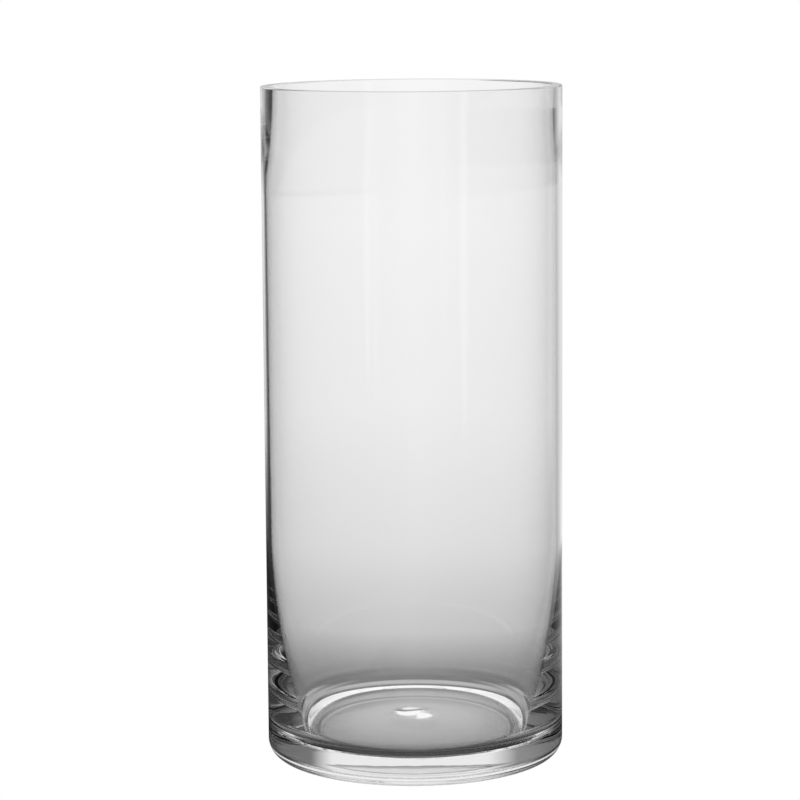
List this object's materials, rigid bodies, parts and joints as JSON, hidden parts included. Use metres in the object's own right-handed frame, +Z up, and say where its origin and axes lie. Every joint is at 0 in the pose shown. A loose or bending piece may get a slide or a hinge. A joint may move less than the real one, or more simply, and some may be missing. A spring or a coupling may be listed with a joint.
{
  "type": "glass cylinder vase",
  "caption": "Tall straight-sided clear glass cylinder vase with a heavy base, a rounded heel and a fire-polished rim; stands upright and holds cut stems in water.",
  "frame": {"origin": "centre of the underside, on the plane the vase stands on", "axes": "+Z up along the cylinder's axis, out of the mouth; X and Y are free because the vase is round"},
  "size_m": [0.1016, 0.1016, 0.23],
  "materials": {
    "clear_glass": "clear, fire-polished, faintly grey at the thick edges"
  },
  "bodies": {
    "root": {"heavy_base": "clear_glass", "cylinder_wall": "clear_glass", "rim_lip": "clear_glass"}
  },
  "joints": []
}
